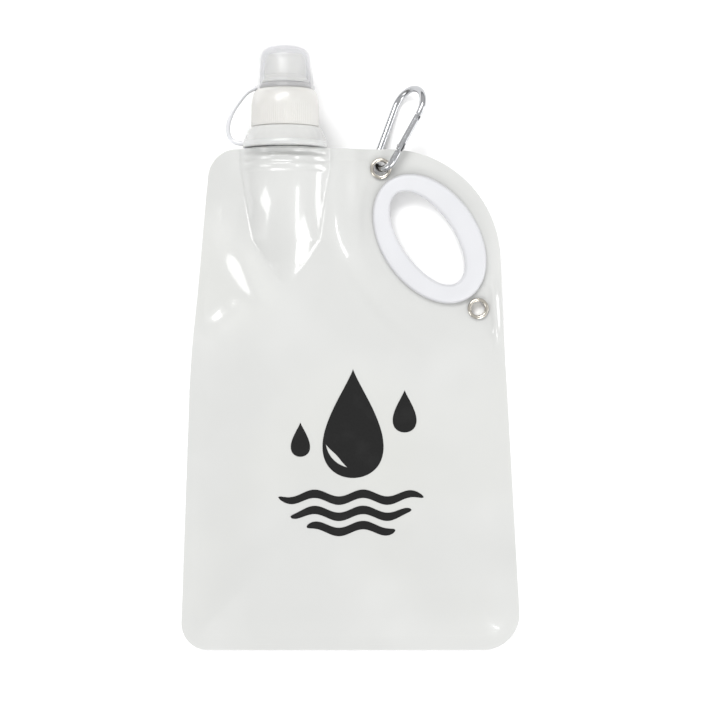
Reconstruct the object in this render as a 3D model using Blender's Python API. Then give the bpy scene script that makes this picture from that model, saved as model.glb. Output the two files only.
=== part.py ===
"""Folding water bottle with a carrying handle, lying empty on its back.

A flat film pouch, welded round a spout fitment, in three sections that fold over one another.
The spout has a screw cap with a push-pull nozzle, a clear dust cap on a tether and a sealing liner.
An oval handle ring is clamped through the pouch, with two eyelets and a spring-gate carabiner.

Frame: +Z up from the surface that the bottle lies on, +Y towards the cap, +X to the handle's side.
The origin is on that surface, under the middle of the bottle's outline.
Every length below is in millimetres; MM turns it into metres when a mesh is made.
"""

import math

import bmesh
import bpy
from mathutils import Matrix, Vector
from mathutils.geometry import delaunay_2d_cdt

MM = 0.001
GAP = 0.3  # running or resting gap between two solids

# Driving dimensions: the bottle
TOTAL_LENGTH = 297.0
HALF_WIDTH = 84.5
BOTTOM_Y = -TOTAL_LENGTH / 2
TOP_EDGE_Y = 98.4
SHOULDER_X = 71.2
FILM = 0.8
SEAL_WIDTH = 6.0
AIR_GAP = 4.6
AIR_RAMP = 18.0

# Driving dimensions: the neck, whose axis is parallel to Y
NECK_X = -31.9
RING_RADIUS = 20.6
NECK_Z = RING_RADIUS
CANOE_HALF_WIDTH = 20.7
CANOE_HALF_DEPTH = 11.4
CANOE_DEPTH = 11.7
RISE_START_Y = 16.0  # where the pouch starts to rise from the surface to the neck's axis
RISE_LENGTH = 74.0
RISE_HALF_WIDTH = 21.4  # level this far to each side of the axis, then falling away
RISE_FADE = 26.0
CONE_START_Y = 34.0  # the closed end of the passage to the neck
CONE_LENGTH = 54.0
CONE_HEIGHT = 12.0
DUST_CAP_TOP = TOTAL_LENGTH / 2 - TOP_EDGE_Y
RIB_DROP = 0.8
THREAD_PITCH = 4.0
TURNED_STEPS = 36

# Driving dimensions: the handle plane, which holds the ring and both eyelets
HANDLE_X, HANDLE_Y, HANDLE_Z = 38.7, 55.1, 6.5
HANDLE_LEAN = math.radians(35.2)
HANDLE_SLOPE = 0.09
RING_OUTER = (23.9, 35.1)
RING_INNER = (13.0, 26.7)
FILM_HOLE = (15.1, 28.8)
HOLE_SHIFT = (-0.7, 0.9)  # the hole's centre from the ring's, across and along the handle
EYELET_REACH = 41.9  # from the handle's centre to each eyelet, along the handle
EYELET_RADIUS = 5.2
EYELET_BORE = 3.4
EYELET_FILM_HOLE = 4.3

# Driving dimensions: the folds
FOLD_UPPER_Y = -40.7
FOLD_LOWER_Y = -95.4
FOLD_UPPER_Z = 6.9  # just over the front film, which the upper fold keeps on its inside
FOLD_LOWER_Z = -0.3  # just under the back film, which the lower fold keeps on its inside
FOLD_GAP = 1.0

# Driving dimensions: the carabiner
ROD = 1.4
CARABINER_LENGTH = 43.0
LOWER_BEND = 7.0
UPPER_BEND = 10.3
CARABINER_HEADING = math.radians(24.5)
CARABINER_TILT = math.radians(53.0)

SEAM_MID = FILM + GAP / 2  # height of the seam's middle where the pouch lies flat

LONG_WAY = Vector((-math.sin(HANDLE_LEAN), math.cos(HANDLE_LEAN), 0.0))
CROSS_WAY = Vector((math.cos(HANDLE_LEAN), math.sin(HANDLE_LEAN), 0.0))


# ---------------------------------------------------------------- small helpers


def clear_scene():
    for obj in list(bpy.data.objects):
        bpy.data.objects.remove(obj)


def make_material(name, colour, roughness, metallic=0.0, alpha=1.0):
    material = bpy.data.materials.new(name)
    material.use_nodes = True
    shader = material.node_tree.nodes["Principled BSDF"]
    shader.inputs["Base Color"].default_value = (*colour, 1.0)
    shader.inputs["Roughness"].default_value = roughness
    shader.inputs["Metallic"].default_value = metallic
    shader.inputs["Alpha"].default_value = alpha
    return material


def object_from_bmesh(name, bm, material, matrix=None, helper=False):
    """Links a bmesh modelled in millimetres as an object; a helper is a cutter or a Boolean's operand."""
    bmesh.ops.recalc_face_normals(bm, faces=bm.faces)
    bmesh.ops.scale(bm, vec=(MM, MM, MM), verts=bm.verts)
    mesh = bpy.data.meshes.new(name)
    bm.to_mesh(mesh)
    bm.free()
    mesh.shade_smooth()
    mesh.set_sharp_from_angle(angle=math.radians(35))
    mesh.materials.append(material)
    obj = bpy.data.objects.new(name, mesh)
    bpy.context.scene.collection.objects.link(obj)
    if matrix is not None:
        obj.matrix_world = matrix
    if helper:
        obj.hide_render = True
        obj.display_type = "WIRE"
    return obj


def joint_axis(name, point, moving, parent=None):
    """An empty on a joint's axis, the parent of the pieces that turn about it."""
    empty = bpy.data.objects.new(name, None)
    bpy.context.scene.collection.objects.link(empty)
    empty.location = Vector(point) * MM
    if parent is not None:
        empty.parent = parent
        empty.matrix_parent_inverse = Matrix.Translation(-parent.location)
    for obj in moving:
        obj.parent = empty
        obj.matrix_parent_inverse = Matrix.Translation(-empty.location)
    return empty


def boolean(obj, other, operation):
    modifier = obj.modifiers.new(operation.lower() + "_" + other.name, "BOOLEAN")
    modifier.operation = operation
    modifier.object = other
    other.hide_render = True
    other.display_type = "WIRE"


def placed(x_axis, y_axis, z_axis, origin):
    """World matrix, in metres, of a local frame given in millimetres."""
    rotation = Matrix((x_axis, y_axis, z_axis)).transposed().to_4x4()
    return Matrix.Translation(Vector(origin) * MM) @ rotation


def smoothstep(t):
    t = min(1.0, max(0.0, t))
    return t * t * (3.0 - 2.0 * t)


def turned(name, profile, material, matrix, steps=TURNED_STEPS, helper=False):
    """Turns a profile of (radius, height) about local Z.

    The profile is a closed loop, or open with both its ends on the axis.
    """
    bm = bmesh.new()
    verts = [bm.verts.new((radius, 0.0, height)) for radius, height in profile]
    edges = [bm.edges.new(pair) for pair in zip(verts, verts[1:])]
    if profile[0][0] > 0.0:
        edges.append(bm.edges.new((verts[-1], verts[0])))
    bmesh.ops.spin(
        bm, geom=verts + edges, cent=(0, 0, 0), axis=(0, 0, 1),
        angle=2 * math.pi, steps=steps, use_merge=True, use_duplicate=False,
    )
    bmesh.ops.remove_doubles(bm, verts=bm.verts, dist=1e-4)
    return object_from_bmesh(name, bm, material, matrix, helper)


def skin_rings(bm, rings, closed_sweep):
    """Joins rings of equal length with quads, and caps the ends of an open sweep."""
    made = [[bm.verts.new(point) for point in ring] for ring in rings]
    count = len(made[0])
    pairs = list(zip(made, made[1:]))
    if closed_sweep:
        pairs.append((made[-1], made[0]))
    for first, second in pairs:
        for i in range(count):
            j = (i + 1) % count
            bm.faces.new((first[i], first[j], second[j], second[i]))
    if not closed_sweep:
        bm.faces.new(list(reversed(made[0])))
        bm.faces.new(made[-1])


# ---------------------------------------------------------------- the pouch's outline and surfaces


def rounded_outline(corners, chord=5.0):
    """Points of a convex polygon, anticlockwise, whose corners (x, y, radius) are rounded by arcs."""
    points = []
    count = len(corners)
    for i, (x, y, radius) in enumerate(corners):
        here = Vector((x, y))
        before = (Vector(corners[i - 1][:2]) - here).normalized()
        after = (Vector(corners[(i + 1) % count][:2]) - here).normalized()
        half = before.angle(after) / 2
        centre = here + (before + after).normalized() * radius / math.sin(half)
        start = here + before * radius / math.tan(half) - centre
        turn = math.pi - 2 * half
        steps = max(2, round(radius * turn / chord))
        for k in range(steps + 1):
            a = turn * k / steps
            spun = start.copy()
            spun.rotate(Matrix.Rotation(a, 2))
            points.append(centre + spun)
    return points


OUTLINE = rounded_outline([
    (-HALF_WIDTH, BOTTOM_Y, 13.0),
    (HALF_WIDTH, BOTTOM_Y, 18.0),
    (76.2, 0.0, 500.0),
    (SHOULDER_X, TOP_EDGE_Y + 1.1, 55.0),
    (-68.5, TOP_EDGE_Y - 0.8, 14.0),
    (-79.6, -5.0, 500.0),
])


def clipped(points, low, high):
    """The part of a convex outline between two Y values."""
    for limit, keep_above in ((low, True), (high, False)):
        kept = []
        for p, q in zip(points, points[1:] + points[:1]):
            p_in = (p.y >= limit) == keep_above
            q_in = (q.y >= limit) == keep_above
            if p_in:
                kept.append(p)
            if p_in != q_in:
                kept.append(p.lerp(q, (limit - p.y) / (q.y - p.y)))
        points = kept
    return points


def spaced(points, spacing):
    """The loop with its long sides divided, so that no side is longer than spacing."""
    out = []
    for p, q in zip(points, points[1:] + points[:1]):
        steps = max(1, math.ceil((q - p).length / spacing))
        out += [p.lerp(q, k / steps) for k in range(steps)]
    return out


def edge_distance(x, y, loop):
    """Distance from a point to the nearest side of a loop."""
    here = Vector((x, y))
    best = 1e9
    for p, q in zip(loop, loop[1:] + loop[:1]):
        side = q - p
        if side.length_squared < 1e-12:
            continue
        along = min(1.0, max(0.0, (here - p).dot(side) / side.length_squared))
        best = min(best, (here - p - side * along).length)
    return best


def inside(x, y, loop):
    found = False
    for p, q in zip(loop, loop[1:] + loop[:1]):
        if (p.y > y) != (q.y > y) and x < p.x + (y - p.y) / (q.y - p.y) * (q.x - p.x):
            found = not found
    return found


def handle_coordinates(x, y):
    """(across, along) the handle, from its centre."""
    offset = Vector((x - HANDLE_X, y - HANDLE_Y, 0.0))
    return offset.dot(CROSS_WAY), offset.dot(LONG_WAY)


def handle_plane_z(x, y):
    return HANDLE_Z + HANDLE_SLOPE * handle_coordinates(x, y)[1]


def eyelet_point(along):
    centre = Vector((HANDLE_X, HANDLE_Y, 0.0)) + LONG_WAY * along
    return Vector((centre.x, centre.y, handle_plane_z(centre.x, centre.y)))


UPPER_EYELET = eyelet_point(EYELET_REACH)
LOWER_EYELET = eyelet_point(-EYELET_REACH)


def seam_z(x, y):
    """Height of the middle of the welded films.

    They lie flat on the surface, and rise to the neck's axis and to the handle's plane.
    """
    rise = smoothstep((y - RISE_START_Y) / RISE_LENGTH)
    beyond = max(0.0, abs(x - NECK_X) - RISE_HALF_WIDTH)
    natural = SEAM_MID + (NECK_Z - SEAM_MID) * rise / (1.0 + (beyond / RISE_FADE) ** 2)
    across, along = handle_coordinates(x, y)
    reach = math.hypot(across / 27.0, along / 51.0)
    share = 1.0 - smoothstep((reach - 1.0) / 0.35)
    return natural + (handle_plane_z(x, y) - natural) * share


def spout_bulge(x, y):
    """How far each film stands off the seam's middle round the fitment, and down the cone below it."""
    down = min(1.0, max(0.0, (y - CONE_START_Y) / CONE_LENGTH))
    half_width = 21.9 * (0.55 + 0.45 * math.sqrt(down))
    across = (x - NECK_X) / half_width
    return CONE_HEIGHT * max(0.0, 1.0 - across * across) * (0.5 * down + 0.5 * smoothstep(down))


def air(x, y):
    """Thickness of the air between the films."""
    across, along = handle_coordinates(x, y)
    full = smoothstep((edge_distance(x, y, OUTLINE) - SEAL_WIDTH) / AIR_RAMP)
    full *= smoothstep((math.hypot(across / 28.0, along / 39.0) - 1.0) / 0.5)
    for eyelet in (UPPER_EYELET, LOWER_EYELET):
        full *= smoothstep((math.hypot(x - eyelet.x, y - eyelet.y) - 8.0) / 12.0)
    return AIR_GAP * full


def air_below(x, y):
    """The air's share under the seam's middle, where the pouch is clear of the surface it lies on."""
    lifted = min(1.0, (seam_z(x, y) - SEAM_MID) / 6.0)
    return 0.4 * air(x, y) * lifted


def gusset_room(y):
    """Extra gap at the bottom seam, which holds the folded gusset's two layers."""
    return 1.6 * (1.0 - smoothstep((y + 140.0) / 22.0))


def front_under(x, y):
    above = air(x, y) - air_below(x, y)
    return seam_z(x, y) + GAP / 2 + gusset_room(y) + above + spout_bulge(x, y)


def back_under(x, y):
    return seam_z(x, y) - GAP / 2 - FILM - air_below(x, y) - spout_bulge(x, y)


def ellipse_loop(centre, half_sizes, steps):
    """An ellipse across and along the handle."""
    loop = []
    for k in range(steps):
        a = 2 * math.pi * k / steps
        offset = CROSS_WAY * (half_sizes[0] * math.cos(a)) + LONG_WAY * (half_sizes[1] * math.sin(a))
        loop.append(Vector((centre[0] + offset.x, centre[1] + offset.y)))
    return loop


def film_panel(name, under, low, high, holes, grid, material):
    """One closed sheet of film between two Y values, following the height function under."""
    rim = spaced(clipped(OUTLINE, low, high), grid)
    loops = [rim] + holes
    points, edges = [], []
    for loop in loops:
        first = len(points)
        points += loop
        edges += [(first + k, first + (k + 1) % len(loop)) for k in range(len(loop))]
    columns = math.ceil(2 * HALF_WIDTH / grid)
    rows = math.ceil((high - low) / grid)
    for i in range(columns + 1):
        for j in range(rows + 1):
            x = -HALF_WIDTH + 2 * HALF_WIDTH * i / columns
            y = low + (high - low) * j / rows
            near = min(edge_distance(x, y, loop) for loop in loops)
            if near > 0.45 * grid and inside(x, y, rim) and not any(inside(x, y, hole) for hole in holes):
                points.append(Vector((x, y)))
    found, _, triangles, *_ = delaunay_2d_cdt(points, edges, [], 0, 1e-6)
    kept = []
    for triangle in triangles:
        centre = sum((found[i] for i in triangle), Vector((0, 0))) / 3
        if inside(centre.x, centre.y, rim) and not any(inside(centre.x, centre.y, hole) for hole in holes):
            kept.append(triangle)
    bm = bmesh.new()
    lower = [bm.verts.new((p.x, p.y, under(p.x, p.y))) for p in found]
    faces = [bm.faces.new([lower[i] for i in triangle]) for triangle in kept]
    bmesh.ops.delete(bm, geom=[v for v in bm.verts if not v.link_faces], context="VERTS")
    top = bmesh.ops.extrude_face_region(bm, geom=faces, use_keep_orig=True)["geom"]
    bmesh.ops.translate(bm, vec=(0, 0, FILM), verts=[g for g in top if isinstance(g, bmesh.types.BMVert)])
    return object_from_bmesh(name, bm, material)


def build_pouch(film):
    """Front and back films, each in three sections, and the folded base gusset between them."""
    shift = CROSS_WAY * HOLE_SHIFT[0] + LONG_WAY * HOLE_SHIFT[1]
    handle_hole = ellipse_loop((HANDLE_X + shift.x, HANDLE_Y + shift.y), FILM_HOLE, 40)
    round_hole = (EYELET_FILM_HOLE, EYELET_FILM_HOLE)
    eyelet_holes = [ellipse_loop(eyelet.xy, round_hole, 20) for eyelet in (UPPER_EYELET, LOWER_EYELET)]
    half = FOLD_GAP / 2
    made = {}
    sections = (
        ("upper", FOLD_UPPER_Y + half, TOP_EDGE_Y + 2.0, [handle_hole] + eyelet_holes, 5.0),
        ("middle", FOLD_LOWER_Y + half, FOLD_UPPER_Y - half, [], 11.0),
        ("lower", BOTTOM_Y - 1.0, FOLD_LOWER_Y - half, [], 11.0),
    )
    for section, low, high, holes, grid in sections:
        made[section] = [
            film_panel("front_film_" + section, front_under, low, high, holes, grid, film),
            film_panel("back_film_" + section, back_under, low, high, holes, grid, film),
        ]
    made["lower"].append(build_gusset(film))
    upper_axis = joint_axis("fold_upper_axis", (0, FOLD_UPPER_Y, FOLD_UPPER_Z), made["middle"])
    joint_axis("fold_lower_axis", (0, FOLD_LOWER_Y, FOLD_LOWER_Z), made["lower"], upper_axis)


def build_gusset(film):
    """The gusset folded flat into the pouch: two layers joined along its inner crease."""
    layer, bottom, crease, half_width = 0.5, BOTTOM_Y + 1.0, BOTTOM_Y + 28.0, 66.0
    low = FILM + GAP
    profile = [
        (bottom, low), (crease, low), (crease, low + 2 * layer + GAP), (bottom, low + 2 * layer + GAP),
        (bottom, low + layer + GAP), (crease - layer, low + layer + GAP), (crease - layer, low + layer),
        (bottom, low + layer),
    ]
    bm = bmesh.new()
    skin_rings(bm, [[(x, y, z) for y, z in profile] for x in (-half_width, half_width)], False)
    return object_from_bmesh("base_gusset", bm, film)


# ---------------------------------------------------------------- the spout: turned pieces along +Y


def neck_frame():
    """Local Z runs along the neck's axis from the pouch's top edge; local X stays world X."""
    return placed((1, 0, 0), (0, 0, -1), (0, 1, 0), (NECK_X, TOP_EDGE_Y, NECK_Z))


def lens_loop(half_width, half_depth, height, steps=24):
    """Two parabolic arcs that meet at the canoe's sharp ends."""
    loop = []
    for sign in (1.0, -1.0):
        for k in range(steps // 2):
            x = sign * half_width * math.cos(2 * math.pi * k / steps)
            loop.append((x, sign * half_depth * (1.0 - (x / half_width) ** 2), height))
    return loop


def thread_ridge(name, root, crest, start, turns, material, matrix):
    """A helical ridge of one pitch per turn, to be joined to the wall that its root is sunk in."""
    steps = round(turns * 24)
    base, tip = 0.75, 0.45
    bm = bmesh.new()
    rings = []
    for k in range(steps + 1):
        a = 2 * math.pi * turns * k / steps
        z = start + THREAD_PITCH * turns * k / steps
        section = ((root, z - base), (crest, z - tip), (crest, z + tip), (root, z + base))
        rings.append([(r * math.cos(a), r * math.sin(a), h) for r, h in section])
    skin_rings(bm, rings, False)
    return object_from_bmesh(name, bm, material, matrix, helper=True)


def build_fitment(plastic):
    """Canoe-shaped weld base with three ribs, flange and threaded neck, bored through."""
    matrix = neck_frame()
    core = (CANOE_HALF_WIDTH - 1.5, CANOE_HALF_DEPTH - RIB_DROP)
    rib = (CANOE_HALF_WIDTH, CANOE_HALF_DEPTH)
    levels = [(-CANOE_DEPTH, core)]
    for middle in (-8.7, -4.9, -1.1):
        levels += [(middle - 0.8, core), (middle - 0.8, rib), (middle + 0.8, rib), (middle + 0.8, core)]
    levels.append((0.0, core))
    bm = bmesh.new()
    skin_rings(bm, [lens_loop(*size, height) for height, size in levels], False)
    fitment = object_from_bmesh("spout_fitment", bm, plastic, matrix)
    neck = [
        (9.0, -1.0), (10.2, -1.0), (10.2, GAP), (15.6, GAP), (15.6, 0.9), (12.6, 0.9), (12.6, 19.6),
        (12.1, 20.1), (10.3, 20.1), (10.3, 2.6), (9.0, 2.0),
    ]
    boolean(fitment, turned("neck_tube", neck, plastic, matrix, helper=True), "UNION")
    boolean(fitment, thread_ridge("neck_thread", 12.3, 13.8, 8.5, 1.75, plastic, matrix), "UNION")
    bore = [(0, -CANOE_DEPTH - 2.0), (8.6, -CANOE_DEPTH - 2.0), (8.6, 1.6), (0, 1.6)]
    boolean(fitment, turned("spout_bore", bore, plastic, matrix, helper=True), "DIFFERENCE")


def build_screw_cap(plastic):
    """Skirt with an internal thread, shoulder, and the valve stem whose post plugs the nozzle."""
    matrix = neck_frame()
    profile = [
        (14.3, 1.2), (16.0, 1.2), (16.0, 1.9), (15.4, 2.2), (15.4, 9.9), (16.5, 9.9), (16.5, 22.0),
        (16.2, 24.4), (15.3, 26.5), (13.8, 28.2), (12.1, 28.2), (12.1, 30.6), (11.7, 30.9), (7.0, 30.9),
        (7.0, 38.6), (5.4, 38.6), (5.4, 29.2), (9.6, 29.2), (9.6, 22.4), (14.3, 22.4),
    ]
    cap = turned("screw_cap", profile, plastic, matrix)
    ridge = thread_ridge("cap_thread", 14.6, 13.1, 8.5 + THREAD_PITCH / 2, 1.75, plastic, matrix)
    boolean(cap, ridge, "UNION")
    bar = bmesh.new()
    bmesh.ops.create_cube(bar, size=1.0)
    bmesh.ops.scale(bar, vec=(12.4, 2.6, 1.8), verts=bar.verts)
    bmesh.ops.translate(bar, vec=(0, 0, 37.5), verts=bar.verts)
    boolean(cap, object_from_bmesh("valve_bridge", bar, plastic, matrix, helper=True), "UNION")
    post = [(0, 37.0), (2.3, 37.0), (2.3, 44.6), (1.9, 45.0), (0, 45.0)]
    boolean(cap, turned("valve_post", post, plastic, matrix, 20, helper=True), "UNION")


def dome(radius, height, in_from_wall, down_from_top, steps=6):
    """Profile points of a rounded top edge, an elliptic quarter from the wall to the flat."""
    points = []
    for k in range(steps + 1):
        a = math.pi / 2 * k / steps
        inward, down = in_from_wall * (1 - math.cos(a)), down_from_top * (1 - math.sin(a))
        points.append((radius - inward, height - down))
    return points


def build_closure(opaque, clear, rubber):
    """What goes on the neck apart from the screw cap: liner, nozzle, tether ring, dust cap and strap."""
    matrix = neck_frame()
    turned("cap_liner", [(9.9, 20.4), (13.8, 20.4), (13.8, 22.1), (9.9, 22.1)], rubber, matrix)
    nozzle = [
        (7.4, 31.2), (11.5, 31.2), (11.5, 32.8), (10.4, 33.6), (9.9, 42.0), (9.4, 43.9), (8.1, 45.2),
        (2.7, 45.2), (2.7, 43.6), (7.4, 43.6),
    ]
    turned("nozzle", nozzle, opaque, matrix)
    ring = [
        (15.75, 2.5), (16.3, 2.2), (16.3, 0.35), (RING_RADIUS, 0.35), (RING_RADIUS, 1.4), (20.2, 2.8),
        (19.2, 5.4), (17.9, 8.2), (17.2, 9.6), (15.75, 9.6),
    ]
    turned("tether_ring", ring, clear, matrix)
    top = DUST_CAP_TOP
    rim = [(12.5, 28.5), (14.4, 28.5), (14.4, 29.8), (13.7, 30.4)]
    outside = rim + dome(12.9, top, 7.5, 6.8) + [(0, top)]
    within = [(12.5, 28.5), (12.5, 31.0)] + dome(12.0, top - 1.0, 6.7, 5.8) + [(0, top - 1.0)]
    turned("dust_cap", list(reversed(outside)) + within[1:], clear, matrix)
    build_strap(clear)


def smooth_curve(points, per_span):
    """Points of a Catmull-Rom curve through the given ones."""
    ends = [points[0] * 2 - points[1]] + points + [points[-1] * 2 - points[-2]]
    out = []
    for a, b, c, d in zip(ends, ends[1:], ends[2:], ends[3:]):
        for k in range(per_span):
            t = k / per_span
            linear, square, cube = c - a, 2 * a - 5 * b + 4 * c - d, 3 * b - a - 3 * c + d
            out.append(0.5 * (2 * b + linear * t + square * t * t + cube * t ** 3))
    return out + [points[-1]]


def build_strap(clear):
    """The flexible strap from the tether ring round to the dust cap's rim."""
    half_thick, half_wide = 1.1, 1.6
    route = [
        (20.95, 2.4), (23.9, 2.6), (26.6, 4.6), (27.8, 8.4), (27.2, 13.2), (24.9, 18.6), (21.6, 23.4),
        (18.4, 27.0), (15.1, 28.7),
    ]
    path = smooth_curve([Vector((-radius, 0.0, height)) for radius, height in route], 3)
    rings = []
    for k, point in enumerate(path):
        forward = (path[min(k + 1, len(path) - 1)] - path[max(k - 1, 0)]).normalized()
        side = Vector((forward.z, 0.0, -forward.x)) * half_thick
        up = Vector((0.0, half_wide, 0.0))
        rings.append([point - side - up, point + side - up, point + side + up, point - side + up])
    bm = bmesh.new()
    skin_rings(bm, rings, False)
    object_from_bmesh("tether_strap", bm, clear, neck_frame())


# ---------------------------------------------------------------- handle ring and eyelets


def handle_frame(origin):
    """Local Z is the handle plane's normal, and local Y runs along the handle."""
    along = Vector((LONG_WAY.x, LONG_WAY.y, HANDLE_SLOPE)).normalized()
    return placed(CROSS_WAY, along, CROSS_WAY.cross(along), origin)


def oval_ring(name, profile, material, matrix, steps=40):
    """Sweeps (share, height) round the handle: share 0 is the inner oval and 1 the outer."""
    rings = []
    for k in range(steps):
        a = 2 * math.pi * k / steps
        ring = []
        for share, height in profile:
            across = RING_INNER[0] + (RING_OUTER[0] - RING_INNER[0]) * share
            along = RING_INNER[1] + (RING_OUTER[1] - RING_INNER[1]) * share
            shift_x, shift_y = HOLE_SHIFT[0] * (1 - share), HOLE_SHIFT[1] * (1 - share)
            ring.append((across * math.cos(a) + shift_x, along * math.sin(a) + shift_y, height))
        rings.append(ring)
    bm = bmesh.new()
    skin_rings(bm, rings, True)
    object_from_bmesh(name, bm, material, matrix)


def build_handle(plastic):
    matrix = handle_frame((HANDLE_X, HANDLE_Y, HANDLE_Z))
    barrel, face = 0.145, FILM + GAP / 2 + GAP
    front = [
        (0, -1.9), (barrel, -1.9), (barrel, face), (1, face), (1, 2.6),
        (0.93, 3.2), (0.5, 3.6), (0.1, 3.2), (0, 2.5),
    ]
    oval_ring("handle_ring_front", front, plastic, matrix)
    back = [(0.18, -face - 1.0), (1, -face - 1.0), (1, -face), (0.18, -face)]
    oval_ring("handle_ring_back", back, plastic, matrix)


def build_eyelets(metal):
    face = FILM + GAP / 2 + GAP
    barrel = [
        (EYELET_BORE, -1.9), (3.85, -1.9), (3.85, face), (EYELET_RADIUS, face),
        (5.1, 1.6), (4.4, 2.0), (3.7, 1.9), (EYELET_BORE, 1.45),
    ]
    washer = [(4.15, -face - 0.6), (EYELET_RADIUS, -face - 0.6), (EYELET_RADIUS, -face), (4.15, -face)]
    for place, centre in (("upper", UPPER_EYELET), ("lower", LOWER_EYELET)):
        matrix = handle_frame(centre)
        turned("eyelet_" + place, barrel, metal, matrix, 24)
        turned("eyelet_washer_" + place, washer, metal, matrix, 24)


# ---------------------------------------------------------------- carabiner


def carabiner_frame_matrix():
    """Local X runs from the eyelet along the carabiner, local Y to its gate, local Z out of its plane."""
    along = Vector((math.sin(CARABINER_HEADING), math.cos(CARABINER_HEADING), 0.0))
    right = Vector((math.cos(CARABINER_HEADING), -math.sin(CARABINER_HEADING), 0.0))
    gate_way = right * math.cos(CARABINER_TILT) + Vector((0, 0, math.sin(CARABINER_TILT)))
    return placed(along, gate_way, along.cross(gate_way), UPPER_EYELET)


UPPER_CENTRE = CARABINER_LENGTH - UPPER_BEND
SPLAY = math.asin((UPPER_BEND - LOWER_BEND) / (UPPER_CENTRE - LOWER_BEND))
LEG_START = Vector((LOWER_BEND - LOWER_BEND * math.sin(SPLAY), LOWER_BEND * math.cos(SPLAY), 0.0))
LEG_WAY = Vector((math.cos(SPLAY), math.sin(SPLAY), 0.0))
LEG_OUT = Vector((-math.sin(SPLAY), math.cos(SPLAY), 0.0))
LEG_LENGTH = (UPPER_CENTRE - LOWER_BEND) * math.cos(SPLAY)
HINGE_AT, GATE_FOOT, GATE_TIP, LATCH_AT = 7.2, 5.3, 24.8, 25.7


def on_leg(along, out=0.0, normal=0.0):
    """A point by its distance up the gate's leg, out of the loop and out of its plane."""
    return LEG_START + LEG_WAY * along + LEG_OUT * out + Vector((0, 0, normal))


def arc(centre, radius, start, end, steps):
    return [
        Vector((centre + radius * math.cos(a), radius * math.sin(a), 0.0))
        for a in (start + (end - start) * k / steps for k in range(steps + 1))
    ]


def swept_rod(path, radius, sides=10):
    """Rings round a path that lies in the local XY plane."""
    rings = []
    for k, point in enumerate(path):
        forward = (path[min(k + 1, len(path) - 1)] - path[max(k - 1, 0)]).normalized()
        out = Vector((-forward.y, forward.x, 0.0))
        ring = []
        for i in range(sides):
            a = 2 * math.pi * i / sides
            ring.append(point + out * (radius * math.cos(a)) + Vector((0, 0, radius * math.sin(a))))
        rings.append(ring)
    return rings


def leg_block(name, low, high, half_out, half_normal, metal, matrix):
    """A block along the gate's leg, as an operand for a Boolean."""
    bm = bmesh.new()
    rings = []
    for along in (low, high):
        corners = ((-1, -1), (1, -1), (1, 1), (-1, 1))
        rings.append([on_leg(along, half_out * o, half_normal * n) for o, n in corners])
    skin_rings(bm, rings, False)
    return object_from_bmesh(name, bm, metal, matrix, helper=True)


def cross_pin(name, along, profile, metal, matrix, helper=False):
    """A turned pin across the gate's leg, its axis out of the loop's plane."""
    at = matrix @ Matrix.Translation(on_leg(along) * MM)
    return turned(name, profile, metal, at, 12, helper)


def pin_hole(name, along, metal, matrix):
    return cross_pin(name, along, [(0, -3), (0.75, -3), (0.75, 3), (0, 3)], metal, matrix, helper=True)


def build_carabiner(metal, steel):
    matrix = carabiner_frame_matrix()
    quarter = math.pi / 2
    path = [on_leg(4.5), on_leg(2.0)]
    path += arc(LOWER_BEND, LOWER_BEND, quarter + SPLAY, 2 * math.pi - quarter - SPLAY, 14)
    path += arc(UPPER_CENTRE, UPPER_BEND, -quarter - SPLAY, quarter + SPLAY, 16)
    path += [on_leg(LEG_LENGTH - 0.2)]
    bm = bmesh.new()
    skin_rings(bm, swept_rod(path, ROD), False)
    frame = object_from_bmesh("carabiner_frame", bm, metal, matrix)
    boolean(frame, leg_block("hinge_tongue", 3.5, 8.6, 1.0, 0.42, metal, matrix), "UNION")
    boolean(frame, leg_block("nose_tongue", 23.4, LEG_LENGTH + 0.6, 0.9, 0.42, metal, matrix), "UNION")
    boolean(frame, pin_hole("frame_pin_hole", HINGE_AT, metal, matrix), "DIFFERENCE")
    boolean(frame, pin_hole("frame_latch_hole", LATCH_AT, metal, matrix), "DIFFERENCE")

    bm = bmesh.new()
    skin_rings(bm, swept_rod([on_leg(GATE_FOOT), on_leg(GATE_TIP)], ROD, 12), False)
    gate = object_from_bmesh("carabiner_gate", bm, metal, matrix)
    boolean(gate, leg_block("gate_foot_slot", GATE_FOOT - 1, 9.6, 3.0, 0.72, metal, matrix), "DIFFERENCE")
    boolean(gate, leg_block("gate_tip_slot", 22.4, GATE_TIP + 1, 3.0, 0.72, metal, matrix), "DIFFERENCE")
    boolean(gate, pin_hole("gate_pin_hole", HINGE_AT, metal, matrix), "DIFFERENCE")
    bm = bmesh.new()
    skin_rings(bm, swept_rod([on_leg(9.0), on_leg(19.6)], 0.8, 8), False)
    boolean(gate, object_from_bmesh("gate_bore", bm, metal, matrix, helper=True), "DIFFERENCE")

    half = ROD + 0.1
    head = [(0.45, half), (0.8, half), (0.8, half + 0.3), (0, half + 0.3)]
    rivet = [(radius, -height) for radius, height in reversed(head)] + head
    cross_pin("gate_rivet", HINGE_AT, rivet, steel, matrix)
    cross_pin("latch_pin", LATCH_AT, [(0, -1.3), (0.45, -1.3), (0.45, 1.3), (0, 1.3)], steel, matrix)
    spring = build_gate_spring(steel, matrix)
    joint_axis("gate_axis", matrix @ (on_leg(HINGE_AT) * MM) / MM, [gate, spring])


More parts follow.
